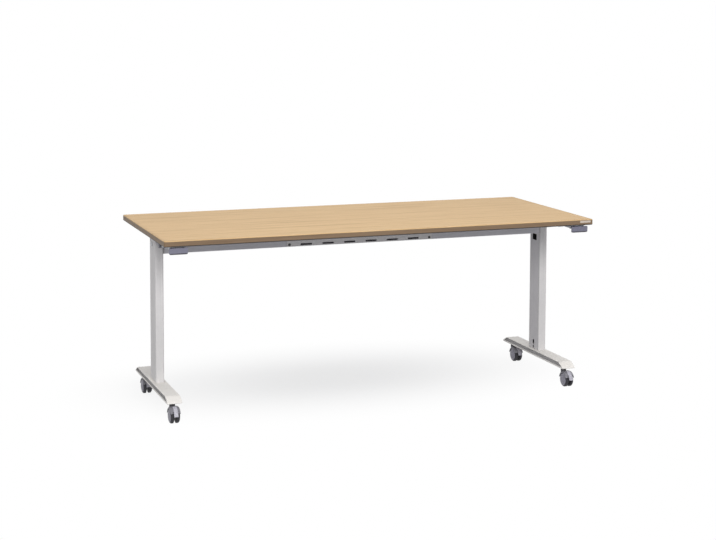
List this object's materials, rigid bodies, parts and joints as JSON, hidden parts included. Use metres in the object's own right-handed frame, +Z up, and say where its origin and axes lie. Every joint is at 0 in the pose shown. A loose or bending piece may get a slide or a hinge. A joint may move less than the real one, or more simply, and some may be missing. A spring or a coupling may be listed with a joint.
{
  "type": "flip top training table",
  "caption": "Long oak-look table top that tips up on a cable beam between T legs, with release levers under the front edge, cable columns and braked twin-wheel casters.",
  "frame": {"origin": "on the floor under the middle of the top", "axes": "+X along the table to the right as seen from the levers, +Y to the back, +Z up"},
  "size_m": [1.8, 0.75, 0.72],
  "materials": {
    "oak_laminate": "satin oak laminate, grain along the length",
    "edge_band": "wood-tone edge band with rounded arrises",
    "silver_paint": "fine silver powder coat",
    "pale_paint": "pale satin paint",
    "bare_steel": "zinc plated",
    "lever_plastic": "moulded grey plastic",
    "hood_plastic": "moulded dark grey plastic",
    "wheel_tread": "dark wheel with a soft tread",
    "pedal_plastic": "light grey moulded plastic",
    "buffer_rubber": "soft black rubber",
    "washer_plastic": "black bearing plastic"
  },
  "bodies": {
    "frame": {"cable_beam": "silver_paint", "slotted_panel": "silver_paint", "beam_end_plate_left": "silver_paint", "top_buffer_left": "buffer_rubber", "column_left": "silver_paint", "column_cover_left": "silver_paint", "column_base_left": "bare_steel", "foot_left": "pale_paint", "pivot_pin_left": "bare_steel", "pivot_washer_inner_left": "washer_plastic", "pivot_washer_outer_left": "washer_plastic", "beam_end_plate_right": "silver_paint", "top_buffer_right": "buffer_rubber", "column_right": "silver_paint", "column_cover_right": "silver_paint", "column_base_right": "bare_steel", "foot_right": "pale_paint", "pivot_pin_right": "bare_steel", "pivot_washer_inner_right": "washer_plastic", "pivot_washer_outer_right": "washer_plastic", "caster_stem_front_left": "bare_steel", "caster_stem_rear_left": "bare_steel", "caster_stem_front_right": "bare_steel", "caster_stem_rear_right": "bare_steel"},
    "top": {"top_board": "oak_laminate", "edge_band": "edge_band", "top_bracket_left": "bare_steel", "lever_bracket_left": "bare_steel", "lever_pin_left": "bare_steel", "bolt_guide_left": "hood_plastic", "lock_spring_left": "bare_steel", "top_bracket_right": "bare_steel", "lever_bracket_right": "bare_steel", "lever_pin_right": "bare_steel", "bolt_guide_right": "hood_plastic", "lock_spring_right": "bare_steel"},
    "lever_left": {"release_lever_left": "lever_plastic"},
    "lock_left": {"lock_bar_left": "bare_steel"},
    "lever_right": {"release_lever_right": "lever_plastic"},
    "lock_right": {"lock_bar_right": "bare_steel"},
    "swivel_front_left": {"caster_hood_front_left": "hood_plastic", "caster_axle_front_left": "bare_steel"},
    "wheel_left_front_left": {"wheel_left_front_left": "wheel_tread"},
    "wheel_right_front_left": {"wheel_right_front_left": "wheel_tread"},
    "pedal_front_left": {"brake_pedal_front_left": "pedal_plastic"},
    "swivel_rear_left": {"caster_hood_rear_left": "hood_plastic", "caster_axle_rear_left": "bare_steel"},
    "wheel_left_rear_left": {"wheel_left_rear_left": "wheel_tread"},
    "wheel_right_rear_left": {"wheel_right_rear_left": "wheel_tread"},
    "pedal_rear_left": {"brake_pedal_rear_left": "pedal_plastic"},
    "swivel_front_right": {"caster_hood_front_right": "hood_plastic", "caster_axle_front_right": "bare_steel"},
    "wheel_left_front_right": {"wheel_left_front_right": "wheel_tread"},
    "wheel_right_front_right": {"wheel_right_front_right": "wheel_tread"},
    "pedal_front_right": {"brake_pedal_front_right": "pedal_plastic"},
    "swivel_rear_right": {"caster_hood_rear_right": "hood_plastic", "caster_axle_rear_right": "bare_steel"},
    "wheel_left_rear_right": {"wheel_left_rear_right": "wheel_tread"},
    "wheel_right_rear_right": {"wheel_right_rear_right": "wheel_tread"},
    "pedal_rear_right": {"brake_pedal_rear_right": "pedal_plastic"}
  },
  "joints": [
    {"name": "top_flip", "type": "hinge", "parent": "frame", "child": "top", "pos_m": [0, 0.0095, 0.65], "axis": [-1, 0, 0], "range_deg": [0, 90]},
    {"name": "lever_pull_left", "type": "hinge", "parent": "top", "child": "lever_left", "pos_m": [-0.843, -0.339, 0.685], "axis": [-1, 0, 0], "range_deg": [-20, 8]},
    {"name": "lock_slide_left", "type": "slide", "parent": "top", "child": "lock_left", "axis": [0, -1, 0], "range_m": [-0.0052, 0.002], "stiffness_N_per_m": 200, "deforming": ["lock_spring_left"]},
    {"name": "lever_pull_right", "type": "hinge", "parent": "top", "child": "lever_right", "pos_m": [0.843, -0.339, 0.685], "axis": [-1, 0, 0], "range_deg": [-20, 8]},
    {"name": "lock_slide_right", "type": "slide", "parent": "top", "child": "lock_right", "axis": [0, -1, 0], "range_m": [-0.0052, 0.002], "stiffness_N_per_m": 200, "deforming": ["lock_spring_right"]},
    {"name": "caster_swivel_front_left", "type": "hinge", "parent": "frame", "child": "swivel_front_left", "pos_m": [-0.843, -0.245, 0.066], "axis": [0, 0, 1], "continuous": true},
    {"name": "wheel_roll_left_front_left", "type": "hinge", "parent": "swivel_front_left", "child": "wheel_left_front_left", "pos_m": [-0.843, -0.274, 0.03], "axis": [1, 0, 0], "continuous": true},
    {"name": "wheel_roll_right_front_left", "type": "hinge", "parent": "swivel_front_left", "child": "wheel_right_front_left", "pos_m": [-0.843, -0.274, 0.03], "axis": [1, 0, 0], "continuous": true},
    {"name": "brake_press_front_left", "type": "hinge", "parent": "swivel_front_left", "child": "pedal_front_left", "pos_m": [-0.843, -0.30726, 0.0492], "axis": [1, 0, 0], "range_deg": [0, 10]},
    {"name": "caster_swivel_rear_left", "type": "hinge", "parent": "frame", "child": "swivel_rear_left", "pos_m": [-0.843, 0.235, 0.066], "axis": [0, 0, 1], "continuous": true},
    {"name": "wheel_roll_left_rear_left", "type": "hinge", "parent": "swivel_rear_left", "child": "wheel_left_rear_left", "pos_m": [-0.843, 0.206, 0.03], "axis": [1, 0, 0], "continuous": true},
    {"name": "wheel_roll_right_rear_left", "type": "hinge", "parent": "swivel_rear_left", "child": "wheel_right_rear_left", "pos_m": [-0.843, 0.206, 0.03], "axis": [1, 0, 0], "continuous": true},
    {"name": "brake_press_rear_left", "type": "hinge", "parent": "swivel_rear_left", "child": "pedal_rear_left", "pos_m": [-0.843, 0.17275, 0.0492], "axis": [1, 0, 0], "range_deg": [0, 10]},
    {"name": "caster_swivel_front_right", "type": "hinge", "parent": "frame", "child": "swivel_front_right", "pos_m": [0.843, -0.245, 0.066], "axis": [0, 0, 1], "continuous": true},
    {"name": "wheel_roll_left_front_right", "type": "hinge", "parent": "swivel_front_right", "child": "wheel_left_front_right", "pos_m": [0.843, -0.274, 0.03], "axis": [1, 0, 0], "continuous": true},
    {"name": "wheel_roll_right_front_right", "type": "hinge", "parent": "swivel_front_right", "child": "wheel_right_front_right", "pos_m": [0.843, -0.274, 0.03], "axis": [1, 0, 0], "continuous": true},
    {"name": "brake_press_front_right", "type": "hinge", "parent": "swivel_front_right", "child": "pedal_front_right", "pos_m": [0.843, -0.30726, 0.0492], "axis": [1, 0, 0], "range_deg": [0, 10]},
    {"name": "caster_swivel_rear_right", "type": "hinge", "parent": "frame", "child": "swivel_rear_right", "pos_m": [0.843, 0.235, 0.066], "axis": [0, 0, 1], "continuous": true},
    {"name": "wheel_roll_left_rear_right", "type": "hinge", "parent": "swivel_rear_right", "child": "wheel_left_rear_right", "pos_m": [0.843, 0.206, 0.03], "axis": [1, 0, 0], "continuous": true},
    {"name": "wheel_roll_right_rear_right", "type": "hinge", "parent": "swivel_rear_right", "child": "wheel_right_rear_right", "pos_m": [0.843, 0.206, 0.03], "axis": [1, 0, 0], "continuous": true},
    {"name": "brake_press_rear_right", "type": "hinge", "parent": "swivel_rear_right", "child": "pedal_rear_right", "pos_m": [0.843, 0.17275, 0.0492], "axis": [1, 0, 0], "range_deg": [0, 10]}
  ],
  "couplings": [
    {"joint": "lever_pull_left", "follows": "lock_slide_left", "rad_per_m": 66.667},
    {"joint": "lever_pull_right", "follows": "lock_slide_right", "rad_per_m": 66.667}
  ]
}
